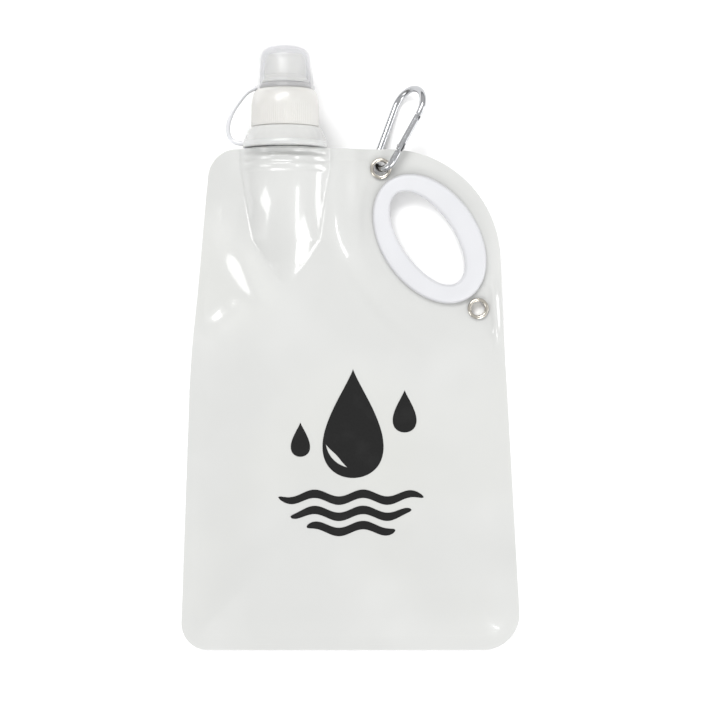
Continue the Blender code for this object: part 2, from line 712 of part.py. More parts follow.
def build_gate_spring(steel, matrix):
    """The coil inside the gate that pushes on the hinge tongue."""
    turns, per_turn, coil, wire = 8, 9, 0.48, 0.14
    low, high = 10.0, 19.2
    steps = turns * per_turn
    rings = []
    for k in range(steps + 1):
        a = 2 * math.pi * turns * k / steps
        along = low + (high - low) * k / steps
        ring = []
        for i in range(4):
            b = 2 * math.pi * i / 4
            radius = coil + wire * math.cos(b)
            ring.append(on_leg(along + wire * math.sin(b), radius * math.cos(a), radius * math.sin(a)))
        rings.append(ring)
    bm = bmesh.new()
    skin_rings(bm, rings, False)
    return object_from_bmesh("gate_spring", bm, steel, matrix)


def main():
    clear_scene()
    film = make_material("frosted_film", (0.86, 0.86, 0.85), 0.22, alpha=0.8)
    opaque = make_material("cap_plastic", (0.88, 0.87, 0.84), 0.35)
    clear = make_material("clear_plastic", (0.88, 0.89, 0.91), 0.15, alpha=0.5)
    ring_plastic = make_material("handle_plastic", (0.88, 0.88, 0.90), 0.5)
    rubber = make_material("liner_foam", (0.90, 0.90, 0.88), 0.8)
    nickel = make_material("nickel_plate", (0.72, 0.69, 0.64), 0.2, metallic=1.0)
    metal = make_material("polished_aluminium", (0.77, 0.78, 0.79), 0.18, metallic=1.0)
    steel = make_material("spring_steel", (0.62, 0.62, 0.63), 0.25, metallic=1.0)
    build_pouch(film)
    build_fitment(clear)
    build_screw_cap(opaque)
    build_closure(opaque, clear, rubber)
    build_handle(ring_plastic)
    build_eyelets(nickel)
    build_carabiner(metal, steel)


main()
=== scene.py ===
"""Looks of the folding water bottle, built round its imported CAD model.

Lengths are in millimetres, in the CAD model's frame: +Z up from the floor that the bottle lies on,
+Y towards the cap, +X to the handle's side. MM turns them into metres when a mesh is made.
"""

from math import asin, ceil, copysign, cos, hypot, pi, radians, sin, sqrt, tan

import bmesh
import bpy
import numpy as np
from mathutils import Matrix, Vector
from mathutils.geometry import delaunay_2d_cdt


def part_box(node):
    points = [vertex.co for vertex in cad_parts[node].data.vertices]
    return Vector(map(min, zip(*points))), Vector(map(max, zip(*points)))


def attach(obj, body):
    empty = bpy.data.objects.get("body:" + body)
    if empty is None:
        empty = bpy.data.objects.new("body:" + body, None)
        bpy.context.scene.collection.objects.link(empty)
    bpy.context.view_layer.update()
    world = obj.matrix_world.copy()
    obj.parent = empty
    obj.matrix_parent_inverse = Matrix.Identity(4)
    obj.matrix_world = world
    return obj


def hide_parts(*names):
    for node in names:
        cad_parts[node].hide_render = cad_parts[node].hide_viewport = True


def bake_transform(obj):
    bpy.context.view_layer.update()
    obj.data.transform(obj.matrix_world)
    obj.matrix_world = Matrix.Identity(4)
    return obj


MM = 0.001

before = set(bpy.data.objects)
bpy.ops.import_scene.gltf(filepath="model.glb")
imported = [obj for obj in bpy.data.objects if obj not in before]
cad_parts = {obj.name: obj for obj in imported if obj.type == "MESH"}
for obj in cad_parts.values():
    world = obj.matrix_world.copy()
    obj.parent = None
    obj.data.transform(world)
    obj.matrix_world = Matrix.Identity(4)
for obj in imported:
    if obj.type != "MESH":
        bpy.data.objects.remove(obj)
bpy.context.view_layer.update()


def cad_centre(node):
    low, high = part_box(node)
    return (low + high) / 2 / MM


# -------- driving dimensions

# the films, and the heights that their surfaces follow
BOTTOM_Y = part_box("back_film_lower")[0].y / MM
TOP_EDGE_Y = 98.4
HALF_WIDTH = 84.5
SEAL_WIDTH = 6.0
AIR_GAP = 3.2
AIR_RAMP = 34.0
GUSSET_GAP = 1.6
SEAM_MID = 0.95
RISE_START, RISE_LENGTH = 16.0, 74.0
SPOUT_HALF_WIDTH, SPOUT_FALL = 21.4, 26.0
BULGE_HEIGHT = 12.0
BULGE_POINT, BULGE_END, BULGE_FULL = 32.0, 33.0, 88.0
CREASE_TAPER = 0.35
INK_LIFT = 0.12

# the spout and the two folds
NECK_X = cad_centre("screw_cap").x
NECK_Z = cad_centre("screw_cap").z
FOLD_UPPER_Y = -40.7
FOLD_LOWER_Y = -95.4
SPLIT_Y = (FOLD_UPPER_Y + FOLD_LOWER_Y) / 2
THREAD_PITCH = 4.0
DUST_CAP_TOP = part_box("dust_cap")[1].y / MM - TOP_EDGE_Y

# the handle: ovals are (across, along) half sizes
HANDLE_X, HANDLE_Y, HANDLE_Z = 38.7, 55.1, 6.5
HANDLE_LEAN = radians(35.2)
HANDLE_SLOPE = 0.09
RING_OUTER = (23.9, 35.1)
RING_INNER = (13.0, 26.7)
LEVEL_OVAL = (25.5, 48.5)
AIRLESS_OVAL = (28.0, 39.0)
FILM_HOLE = (15.1, 28.8)
HOLE_SHIFT = (-0.7, 0.9)
CLAMP_FACE = 1.25
EYELET_REACH = 41.9
EYELET_FILM_HOLE = 4.3

# the carabiner: rod radius, length and the radii of its two bends
ROD = 1.68
CARABINER_LENGTH = 43.0
LOWER_BEND = 7.0
UPPER_BEND = 10.3
CARABINER_HEADING = radians(24.5)
CARABINER_TILT = radians(53.0)

LONG_WAY = Vector((-sin(HANDLE_LEAN), cos(HANDLE_LEAN), 0.0))
CROSS_WAY = Vector((cos(HANDLE_LEAN), sin(HANDLE_LEAN), 0.0))

# how fine the meshes are
FILM_GRID = 1.7
UV_TILE = 100.0
LATHE_STEPS = 128
EDGE_ANGLE = 50


# -------- mesh helpers


def new_object(name, data):
    obj = bpy.data.objects.new(name, data)
    bpy.context.scene.collection.objects.link(obj)
    return obj


def piece_from_bmesh(name, bm, material, matrix=None, sharp=40):
    """A piece from a bmesh in millimetres."""
    bmesh.ops.recalc_face_normals(bm, faces=bm.faces)
    bmesh.ops.scale(bm, vec=(MM, MM, MM), verts=bm.verts)
    mesh = bpy.data.meshes.new(name)
    bm.to_mesh(mesh)
    bm.free()
    mesh.shade_smooth()
    mesh.set_sharp_from_angle(angle=radians(sharp))
    mesh.materials.append(material)
    obj = new_object(name, mesh)
    if matrix is not None:
        obj.matrix_world = matrix
    return obj


def placed(x_axis, y_axis, z_axis, origin):
    rotation = Matrix((x_axis, y_axis, z_axis)).transposed().to_4x4()
    return Matrix.Translation(Vector(origin) * MM) @ rotation


def evenly(start, end, steps):
    """Equally spaced numbers, with both ends."""
    return [start + (end - start) * k / steps for k in range(steps + 1)]


def circle_angles(steps):
    return evenly(0.0, 2 * pi, steps)[:-1]


def skin_rings(rings, closed_sweep=False, bm=None):
    """Joins rings of equal length with quads, in bm or a new bmesh, and caps an open sweep's ends."""
    bm = bm or bmesh.new()
    made = [[bm.verts.new(point) for point in ring] for ring in rings]
    count = len(made[0])
    pairs = list(zip(made, made[1:]))
    if closed_sweep:
        pairs.append((made[-1], made[0]))
    for first, second in pairs:
        for i in range(count):
            j = (i + 1) % count
            bm.faces.new((first[i], first[j], second[j], second[i]))
    if not closed_sweep:
        bm.faces.new(list(reversed(made[0])))
        bm.faces.new(made[-1])
    return bm


def rounded_profile(points, radius=0.25, arc_points=3):
    """A closed profile with each corner cut by a small round."""
    out = []
    count = len(points)
    for i, point in enumerate(points):
        here = Vector(point)
        before, after = Vector(points[i - 1]) - here, Vector(points[(i + 1) % count]) - here
        if here.x < 1e-6 or before.length < 1e-6 or after.length < 1e-6:
            out.append((here.x, here.y))
            continue
        cut = min(radius, before.length * 0.45, after.length * 0.45)
        start, end = here + before.normalized() * cut, here + after.normalized() * cut
        for t in evenly(0.0, 1.0, arc_points):
            bent = start * (1 - t) ** 2 + here * (2 * t * (1 - t)) + end * t * t
            out.append((bent.x, bent.y))
    return out


def lathed(name, profile, material, matrix, ripple=None, steps=LATHE_STEPS):
    """Turns a closed profile of (radius, height) about local Z; ripple's value adds to the radius."""
    rings = []
    for a in circle_angles(steps):
        ring = []
        for radius, height in profile:
            r = radius + (ripple(a, radius, height) if ripple else 0.0)
            ring.append((r * cos(a), r * sin(a), height))
        rings.append(ring)
    bm = skin_rings(rings, True)
    bmesh.ops.remove_doubles(bm, verts=bm.verts, dist=1e-4)
    return piece_from_bmesh(name, bm, material, matrix, EDGE_ANGLE)


def smooth_curve(points, per_span):
    """A Catmull-Rom curve through the given points."""
    ends = [points[0] * 2 - points[1]] + points + [points[-1] * 2 - points[-2]]
    out = []
    for a, b, c, d in zip(ends, ends[1:], ends[2:], ends[3:]):
        for t in evenly(0.0, 1.0, per_span)[:-1]:
            linear, square, cube = c - a, 2 * a - 5 * b + 4 * c - d, 3 * b - a - 3 * c + d
            out.append(0.5 * (2 * b + linear * t + square * t * t + cube * t ** 3))
    return out + [points[-1]]


def headings(path):
    """The direction of a path at each of its points."""
    last = len(path) - 1
    return [(path[min(k + 1, last)] - path[max(k - 1, 0)]).normalized() for k in range(len(path))]


def lay_uvs(face, layer):
    """Sets a face's UVs from its X and Y."""
    for corner in face.loops:
        corner[layer].uv = (corner.vert.co.x / UV_TILE, corner.vert.co.y / UV_TILE)


# -------- materials


def set_range(node, low, high, out_low=0.0, out_high=1.0):
    """Makes a Map Range node turn low to high into out_low to out_high."""
    sockets = ("From Min", "From Max", "To Min", "To Max")
    for socket, number in zip(sockets, (low, high, out_low, out_high)):
        node.inputs[socket].default_value = number


class Finish:
    """A Principled material and short ways to add procedural detail to it."""

    def __init__(self, name, colour, roughness, metallic=0.0, alpha=1.0, coordinate="Object"):
        self.material = bpy.data.materials.new(name)
        self.material.use_nodes = True
        self.nodes = self.material.node_tree.nodes
        self.links = self.material.node_tree.links
        self.shader = self.nodes["Principled BSDF"]
        self.set("Base Color", (*colour, 1.0))
        self.set("Roughness", roughness)
        self.set("Metallic", metallic)
        self.set("Alpha", alpha)
        self.colour = colour
        self.roughness = roughness
        self.place = self.nodes.new("ShaderNodeTexCoord").outputs[coordinate]
        self.normal = None

    def set(self, socket, value):
        self.shader.inputs[socket].default_value = value

    def stretched(self, scale):
        mapping = self.nodes.new("ShaderNodeMapping")
        mapping.inputs["Scale"].default_value = scale
        self.links.new(self.place, mapping.inputs["Vector"])
        return mapping.outputs["Vector"]

    def noise(self, scale, detail=3.0, stretch=None):
        texture = self.nodes.new("ShaderNodeTexNoise")
        texture.inputs["Scale"].default_value = scale
        texture.inputs["Detail"].default_value = detail
        self.links.new(self.stretched(stretch) if stretch else self.place, texture.inputs["Vector"])
        return texture.outputs["Fac"]

    def spread(self, value, low, high, out_low=0.0, out_high=1.0):
        remap = self.nodes.new("ShaderNodeMapRange")
        set_range(remap, low, high, out_low, out_high)
        self.links.new(value, remap.inputs["Value"])
        return remap.outputs["Result"]

    def blend_colour(self, factor, other):
        mix = self.nodes.new("ShaderNodeMix")
        mix.data_type = "RGBA"
        self.links.new(factor, mix.inputs["Factor"])
        source = self.shader.inputs["Base Color"]
        if source.is_linked:
            self.links.new(source.links[0].from_socket, mix.inputs["A"])
        else:
            mix.inputs["A"].default_value = (*self.colour, 1.0)
        mix.inputs["B"].default_value = (*other, 1.0)
        self.links.new(mix.outputs["Result"], source)

    def vary_roughness(self, value, amount):
        ranged = self.spread(value, 0.3, 0.7, self.roughness - amount, self.roughness + amount)
        self.links.new(ranged, self.shader.inputs["Roughness"])

    def bump(self, value, height_mm, strength=1.0):
        node = self.nodes.new("ShaderNodeBump")
        node.inputs["Strength"].default_value = strength
        node.inputs["Distance"].default_value = height_mm * MM
        self.links.new(value, node.inputs["Height"])
        if self.normal is not None:
            self.links.new(self.normal, node.inputs["Normal"])
        self.normal = node.outputs["Normal"]
        self.links.new(self.normal, self.shader.inputs["Normal"])


def film_finish(name, alpha):
    """Milky glossy film: faint mottling, and a thin coat for its sharp highlights."""
    film = Finish(name, (0.505, 0.509, 0.499), 0.34, alpha=alpha, coordinate="UV")
    film.blend_colour(film.spread(film.noise(1.6, 2.0), 0.42, 0.62), (0.53, 0.534, 0.524))
    film.blend_colour(film.spread(film.noise(0.9, 1.0), 0.5, 0.75, 0.0, 0.7), (0.505, 0.509, 0.484))
    film.vary_roughness(film.noise(14.0), 0.04)
    film.bump(film.noise(5.0, 1.0), 0.15)
    film.set("Coat Weight", 1.0)
    film.set("Coat Roughness", 0.09)
    return film.material


def cap_finish(name, colour):
    """Natural moulded polyethylene, slightly warm."""
    cap = Finish(name, colour, 0.36)
    paler = tuple(1.04 * c for c in colour)
    cap.blend_colour(cap.spread(cap.noise(60.0, 2.0), 0.35, 0.7), paler)
    cap.vary_roughness(cap.noise(300.0), 0.05)
    cap.bump(cap.noise(900.0, 4.0), 0.02, 0.5)
    cap.set("Subsurface Weight", 0.6)
    cap.set("Subsurface Radius", (0.006, 0.006, 0.0055))
    cap.set("Coat Weight", 0.25)
    cap.set("Coat Roughness", 0.15)
    return cap.material


def clear_finish(name, alpha, colour, roughness=0.16, coat=0.8):
    """Thin clear moulding with flow marks."""
    clear = Finish(name, colour, roughness, alpha=alpha)
    paler = tuple(1.06 * c for c in colour)
    clear.blend_colour(clear.spread(clear.noise(80.0, 2.0, (1.0, 4.0, 1.0)), 0.35, 0.7), paler)
    clear.vary_roughness(clear.noise(200.0), 0.04)
    clear.bump(clear.noise(220.0, 2.0), 0.015)
    clear.set("Coat Weight", coat)
    clear.set("Coat Roughness", 0.06)
    return clear.material


def handle_finish():
    """Satin moulded ring, faintly blue, with a fine spark-eroded texture."""
    ring = Finish("handle_plastic", (0.5, 0.503, 0.52), 0.46)
    ring.blend_colour(ring.spread(ring.noise(45.0, 2.0), 0.35, 0.7), (0.516, 0.519, 0.536))
    ring.vary_roughness(ring.noise(500.0), 0.06)
    ring.bump(ring.noise(2200.0, 4.0), 0.02, 0.6)
    return ring.material


def metal_finish(name, colour, roughness, stretch, scratch=0.008):
    """Plated or polished metal with drawn marks and small scuffs."""
    metal = Finish(name, colour, roughness, metallic=1.0)
    darker = tuple(c * 0.82 for c in colour)
    metal.blend_colour(metal.spread(metal.noise(120.0, 3.0), 0.5, 0.8, 0.0, 0.8), darker)
    metal.vary_roughness(metal.noise(260.0, 4.0), 0.07)
    metal.bump(metal.noise(500.0, 3.0, stretch), scratch, 0.6)
    return metal.material


def foam_finish():
    """Fine closed-cell foam."""
    foam = Finish("liner_foam", (0.82, 0.82, 0.79), 0.8)
    foam.blend_colour(foam.noise(700.0), (0.74, 0.74, 0.71))
    foam.bump(foam.noise(1800.0, 4.0), 0.06)
    return foam.material


def ink_finish():
    """Screen-printed ink, matte, a little thinner in places."""
    ink = Finish("print_ink", (0.006, 0.006, 0.006), 0.62, coordinate="UV")
    ink.set("Specular IOR Level", 0.18)
    ink.blend_colour(ink.spread(ink.noise(8.0, 4.0), 0.5, 0.85), (0.012, 0.012, 0.012))
    ink.vary_roughness(ink.noise(90.0, 3.0), 0.08)
    ink.bump(ink.noise(240.0, 3.0), 0.008)
    return ink.material


def floor_finish():
    """Pale matte paper."""
    floor = Finish("floor_paper", (0.93, 0.93, 0.93), 0.85)
    floor.bump(floor.noise(300.0, 3.0), 0.02, 0.3)
    floor.set("Specular IOR Level", 0.1)
    return floor.material


# -------- the pouch's surfaces


def smoothstep(t):
    t = np.clip(t, 0.0, 1.0)
    return t * t * (3.0 - 2.0 * t)


def rounded_outline(corners, chord=1.6):
    """Points of a convex polygon, anticlockwise, whose corners (x, y, radius) are rounded by arcs."""
    points = []
    count = len(corners)
    for i, (x, y, radius) in enumerate(corners):
        here = Vector((x, y))
        before = (Vector(corners[i - 1][:2]) - here).normalized()
        after = (Vector(corners[(i + 1) % count][:2]) - here).normalized()
        half = before.angle(after) / 2
        centre = here + (before + after).normalized() * radius / sin(half)
        start = here + before * radius / tan(half) - centre
        turn = pi - 2 * half
        steps = max(2, round(radius * turn / chord))
        for a in evenly(0.0, turn, steps):
            cos_a, sin_a = cos(a), sin(a)
            spun = Vector((start.x * cos_a - start.y * sin_a, start.x * sin_a + start.y * cos_a))
            points.append(centre + spun)
    return points


OUTLINE = rounded_outline([
    (-HALF_WIDTH, BOTTOM_Y, 13.0),
    (HALF_WIDTH, BOTTOM_Y, 18.0),
    (76.2, 0.0, 500.0),
    (71.2, TOP_EDGE_Y + 1.1, 55.0),
    (-68.5, TOP_EDGE_Y - 0.8, 14.0),
    (-79.6, -5.0, 500.0),
])


def clipped(points, low, high):
    """The part of a convex outline between two Y values."""
    for limit, keep_above in ((low, True), (high, False)):
        kept = []
        for p, q in zip(points, points[1:] + points[:1]):
            p_in = (p.y >= limit) == keep_above
            q_in = (q.y >= limit) == keep_above
            if p_in:
                kept.append(p)
            if p_in != q_in:
                kept.append(p.lerp(q, (limit - p.y) / (q.y - p.y)))
        points = kept
    return points


def spaced(points, spacing):
    """A closed loop's points, with more of them along its long sides."""
    out = []
    for p, q in zip(points, points[1:] + points[:1]):
        steps = max(1, ceil((q - p).length / spacing))
        out += [p.lerp(q, k / steps) for k in range(steps)]
    return out


def edge_distance(x, y, loop):
    """Distance of each point from the nearest side of a loop."""
    best = np.full(np.shape(x), 1e9)
    for p, q in zip(loop, loop[1:] + loop[:1]):
        side = q - p
        if side.length_squared < 1e-12:
            continue
        along = np.clip(((x - p.x) * side.x + (y - p.y) * side.y) / side.length_squared, 0.0, 1.0)
        best = np.minimum(best, np.hypot(x - p.x - side.x * along, y - p.y - side.y * along))
    return best


def inside(x, y, loop):
    """Whether each point is inside a loop."""
    found = np.zeros(np.shape(x), bool)
    for p, q in zip(loop, loop[1:] + loop[:1]):
        if p.y == q.y:
            continue
        spans = (p.y > y) != (q.y > y)
        found ^= spans & (x < p.x + (y - p.y) / (q.y - p.y) * (q.x - p.x))
    return found


def handle_coordinates(x, y):
    """(across, along) the handle, from its centre."""
    dx, dy = x - HANDLE_X, y - HANDLE_Y
    return dx * CROSS_WAY.x + dy * CROSS_WAY.y, dx * LONG_WAY.x + dy * LONG_WAY.y


def handle_plane_z(x, y):
    """Height of the plane that the handle ring and the eyelets lie in."""
    return HANDLE_Z + HANDLE_SLOPE * handle_coordinates(x, y)[1]


def eyelet_point(along):
    centre = Vector((HANDLE_X, HANDLE_Y, 0.0)) + LONG_WAY * along
    return Vector((centre.x, centre.y, float(handle_plane_z(centre.x, centre.y))))


UPPER_EYELET = eyelet_point(EYELET_REACH)
LOWER_EYELET = eyelet_point(-EYELET_REACH)


def seam_z(x, y):
    """Height of the middle of the welded films: up to the neck's axis, and level with the handle."""
    rise = smoothstep((y - RISE_START) / RISE_LENGTH)
    beyond = np.maximum(0.0, np.abs(x - NECK_X) - SPOUT_HALF_WIDTH)
    natural = SEAM_MID + (NECK_Z - SEAM_MID) * rise / (1.0 + (beyond / SPOUT_FALL) ** 2)
    across, along = handle_coordinates(x, y)
    reach = np.hypot(across / LEVEL_OVAL[0], along / LEVEL_OVAL[1])
    fade = 0.75 + 2.5 * smoothstep(across / LEVEL_OVAL[0] - 0.2)
    share = np.clip(1.0 - (reach - 1.0) / fade, 0.0, 1.0) * smoothstep(beyond / SPOUT_FALL)
    return natural + (handle_plane_z(x, y) - natural) * share


def spout_bulge(x, y):
    """The film's swelling over the fitment, which sinks and closes to a point below it."""
    down = np.clip((y - BULGE_END) / (BULGE_FULL - BULGE_END), 0.0, 1.0)
    closing = np.clip((y - BULGE_POINT) / 22.0, 0.02, 1.0)
    half_width = (16.4 + 5.5 * np.clip((y - 53.0) / (BULGE_FULL - 53.0), 0.0, 1.0)) * closing ** 0.8
    across = np.abs(x - NECK_X) / half_width
    crown = np.maximum(0.0, 1.0 - across ** 2.3)
    return BULGE_HEIGHT * crown * (0.62 * down + 0.38 * smoothstep(down))


def air(x, y):
    """Thickness of the air between the films."""
    across, along = handle_coordinates(x, y)
    full = smoothstep((edge_distance(x, y, OUTLINE) - SEAL_WIDTH) / AIR_RAMP)
    full = full * smoothstep((np.hypot(across / AIRLESS_OVAL[0], along / AIRLESS_OVAL[1]) - 1.0) / 0.5)
    for eyelet in (UPPER_EYELET, LOWER_EYELET):
        full = full * smoothstep((np.hypot(x - eyelet.x, y - eyelet.y) - 8.0) / 12.0)
    return AIR_GAP * full


def air_below(x, y):
    """The air's share under the seam's middle, where the pouch is clear of the floor."""
    lifted = np.minimum(1.0, (seam_z(x, y) - SEAM_MID) / 6.0)
    return 0.4 * air(x, y) * lifted


def gusset_room(y):
    """Extra gap that holds the folded gusset's two layers."""
    return GUSSET_GAP * (1.0 - smoothstep((y - BOTTOM_Y - 8.5) / 22.0))


def stroke(x, y, ends, width, height):
    """A soft ridge, or a dent when height is negative, along a line between two points."""
    (x0, y0), (x1, y1) = ends
    dx, dy = x1 - x0, y1 - y0
    length = hypot(dx, dy)
    along = ((x - x0) * dx + (y - y0) * dy) / length
    off = np.abs((x - x0) * dy - (y - y0) * dx) / length
    taper = CREASE_TAPER * length
    fade = smoothstep(along / taper) * smoothstep((length - along) / taper)
    return height * np.exp(-((off / width) ** 2)) * fade


# Creases of the front film, and one dent: both ends, half width, height
FRONT_MARKS = [
    (((-58.0, 55.0), (-42.0, 17.0)), 6.0, 2.1),
    (((-73.0, 6.0), (-50.0, 27.0)), 5.0, 2.2),
    (((-74.0, 62.0), (-71.0, -4.0)), 1.6, 0.5),
    (((-10.6, 91.0), (-5.0, 97.0)), 0.5, 0.3),
    (((-7.6, 90.6), (-3.2, 94.6)), 0.5, 0.25),
    (((70.0, 38.0), (72.4, 1.0)), 2.2, 2.12),
    (((-71.0, 36.0), (-74.0, -12.0)), 6.0, 1.0),
    (((-4.0, 12.0), (30.0, 30.0)), 6.0, 0.35),
    (((14.0, -100.0), (62.0, -78.0)), 7.0, 0.2),
    (((-70.0, -112.0), (-20.0, -98.0)), 8.0, 0.3),
    (((-52.0, 92.0), (-62.0, 60.0)), 3.0, -0.35),
]


def waves(x, y):
    """Slow undulation of slack film."""
    slow = np.sin(x / 19.0 + 0.6 * np.sin(y / 31.0)) * np.cos(y / 27.0 - 0.4)
    slower = np.sin((x - 1.7 * y) / 41.0) * np.cos((x + 0.6 * y) / 53.0 + 1.0)
    return 0.16 * slow + 0.3 * slower


def fitment_ribs(x, y):
    """The film pressed round the fitment's three ribs."""
    ribs = np.zeros(np.shape(x))
    for middle, rise in ((-8.7, 1.0), (-4.9, 1.0), (-1.0, 2.2)):
        ribs = ribs + rise * np.exp(-(((y - TOP_EDGE_Y - middle) / 0.9) ** 2))
    near = smoothstep((21.0 - np.abs(x - NECK_X)) / 4.0) * smoothstep((y - TOP_EDGE_Y + 12.5) / 2.0)
    return (0.75 * ribs - 0.55) * near


def front_z(x, y):
    """The front film: over the air and the fitment, with creases, waves and a groove along the weld."""
    from_edge = edge_distance(x, y, OUTLINE)
    opened = smoothstep((from_edge - 0.8) / 16.0)
    loose = smoothstep((air(x, y) / AIR_GAP - 0.02) / 0.5)
    marks = sum(stroke(x, y, *mark) for mark in FRONT_MARKS)
    above = air(x, y) - air_below(x, y) + gusset_room(y) * opened
    groove = -0.12 * np.exp(-(((from_edge - SEAL_WIDTH) / 0.7) ** 2))
    swollen = seam_z(x, y) + 0.15 + above + spout_bulge(x, y) + fitment_ribs(x, y)
    return swollen + marks + waves(x, y) * loose + groove


def back_z(x, y):
    """The back film, which sags inside its weld and stays above the floor."""
    sag = 0.6 * smoothstep((edge_distance(x, y, OUTLINE) - 2.0) / 8.0)
    bulge = spout_bulge(x, y)
    return np.maximum(0.12, seam_z(x, y) - 0.1 - air_below(x, y) - bulge - sag)


def ellipse_loop(centre, half_sizes, steps):
    """An ellipse across and along the handle."""
    loop = []
    for a in circle_angles(steps):
        offset = CROSS_WAY * (half_sizes[0] * cos(a)) + LONG_WAY * (half_sizes[1] * sin(a))
        loop.append(Vector((centre[0] + offset.x, centre[1] + offset.y)))
    return loop


def grid_points(low, high, grid):
    """X and Y of a square grid that fills a box."""
    xs = np.arange(low[0] + grid / 2, high[0], grid)
    ys = np.arange(low[1] + grid / 2, high[1], grid)
    return [a.ravel() for a in np.meshgrid(xs, ys)]


def within_box(x, y, low, high):
    return (x > low[0]) & (x < high[0]) & (y > low[1]) & (y < high[1])


def sheet_points(rim, grid, fine):
    """A grid inside a rim's box, replaced by closer grids in the boxes (low, high, grid) of fine."""
    low = (min(p.x for p in rim), min(p.y for p in rim))
    high = (max(p.x for p in rim), max(p.y for p in rim))
    x, y = grid_points(low, high, grid)
    for fine_low, fine_high, fine_grid in fine:
        kept = ~within_box(x, y, fine_low, fine_high)
        more_x, more_y = grid_points(fine_low, fine_high, fine_grid)
        x, y = np.append(x[kept], more_x), np.append(y[kept], more_y)
    return x, y


def on_sheet(x, y, rim, holes):
    """Whether each point is inside a sheet's rim and outside its holes."""
    found = inside(x, y, rim)
    for hole in holes:
        found &= ~inside(x, y, hole)
    return found


def sheet_mesh(name, rim, holes, height, grid, material, fine=()):
    """A thin sheet inside a rim and round its holes, at height(x, y)."""
    loops = [rim] + holes
    points, edges = [], []
    for loop in loops:
        first = len(points)
        points += loop
        edges += [(first + k, first + (k + 1) % len(loop)) for k in range(len(loop))]
    x, y = sheet_points(rim, grid, fine)
    keep = on_sheet(x, y, rim, holes)
    for loop in loops:
        keep &= edge_distance(x, y, loop) > 0.4 * grid
    points += [Vector((float(a), float(b))) for a, b in zip(x[keep], y[keep])]
    found, _, triangles, *_ = delaunay_2d_cdt(points, edges, [], 0, 1e-6)
    px = np.array([p.x for p in found])
    py = np.array([p.y for p in found])
    corners = np.array(triangles)
    kept = on_sheet(px[corners].mean(1), py[corners].mean(1), rim, holes)
    bm = bmesh.new()
    verts = [bm.verts.new(place) for place in zip(px, py, height(px, py))]
    uv = bm.loops.layers.uv.new("flat")
    for triangle in corners[kept]:
        lay_uvs(bm.faces.new([verts[i] for i in triangle]), uv)
    bmesh.ops.delete(bm, geom=[v for v in bm.verts if not v.link_faces], context="VERTS")
    return piece_from_bmesh(name, bm, material, sharp=180)


def bend_over_fold(piece):
    """Bakes a piece's placement into its mesh."""
    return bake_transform(piece)


def build_films(front, back):
    """Each film is two sheets, which meet halfway between the folds."""
    shift = CROSS_WAY * HOLE_SHIFT[0] + LONG_WAY * HOLE_SHIFT[1]
    holes = [ellipse_loop((HANDLE_X + shift.x, HANDLE_Y + shift.y), FILM_HOLE, 120)]
    for eyelet in (UPPER_EYELET, LOWER_EYELET):
        holes.append(ellipse_loop((eyelet.x, eyelet.y), (EYELET_FILM_HOLE, EYELET_FILM_HOLE), 32))
    upper_rim = spaced(clipped(OUTLINE, SPLIT_Y, TOP_EDGE_Y + 5.0), FILM_GRID)
    lower_rim = spaced(clipped(OUTLINE, BOTTOM_Y - 1.0, SPLIT_Y), FILM_GRID)
    canoe_zone = ((NECK_X - 23.0, TOP_EDGE_Y - 14.0), (NECK_X + 40.0, TOP_EDGE_Y + 1.0), 0.6)
    bulge_zone = ((NECK_X - 23.0, 28.0), (NECK_X + 40.0, TOP_EDGE_Y - 14.0), 1.0)
    curl_zone = ((66.0, -2.0), (79.0, 42.0), 0.8)
    for side, height, material in (("front", front_z, front), ("back", back_z, back)):
        fine = (bulge_zone, canoe_zone, curl_zone) if side == "front" else ()
        above = sheet_mesh(f"{side}_film_above", upper_rim, holes, height, FILM_GRID, material, fine)
        below = sheet_mesh(f"{side}_film_below", lower_rim, [], height, FILM_GRID, material)
        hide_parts(f"{side}_film_upper", f"{side}_film_middle")
        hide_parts(f"{side}_film_lower")
        bend_over_fold(above)
        bend_over_fold(below)


def build_gusset(film):
    """The gusset folded into the pouch: two layers that meet in a rounded inner crease."""
    low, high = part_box("base_gusset")
    low, high = low / MM + Vector((0.0, 1.5, 0.0)), high / MM
    middle, half = (low.z + high.z) / 2, (high.z - low.z) / 2 - 0.15
    crease_y = high.y - 1.0

    def layer(y, side):
        opening = 0.1 + 0.9 * float(smoothstep((y - low.y) / 16.0))
        return (y, SEAM_MID + (middle - SEAM_MID) * opening + side * half * opening)

    levels = evenly(low.y, crease_y, 40)
    profile = [layer(y, -1) for y in levels]
    for a in evenly(-pi / 2, pi / 2, 8)[1:-1]:
        profile.append((crease_y + 0.9 * cos(a), middle + half * sin(a)))
    profile += [layer(y, 1) for y in reversed(levels)]
    bm = bmesh.new()
    uv = bm.loops.layers.uv.new("flat")
    inset = 5.0
    rows = []
    for x in evenly(low.x + inset, high.x - inset, 60):
        wave = 0.12 * sin(x / 9.0)
        rows.append([bm.verts.new((x, y, z + wave)) for y, z in profile])
    for first, second in zip(rows, rows[1:]):
        for a, b, c, d in zip(first, first[1:], second[1:], second):
            lay_uvs(bm.faces.new((a, b, c, d)), uv)
    gusset = piece_from_bmesh("gusset_film", bm, film, sharp=180)
    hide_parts("base_gusset")
    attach(gusset, "pouch_lower")


# -------- the spout


def neck_frame():
    """Local Z runs along the neck's axis from the pouch's top edge; local X stays world X."""
    return placed((1, 0, 0), (0, 0, -1), (0, 1, 0), (NECK_X, TOP_EDGE_Y, NECK_Z))


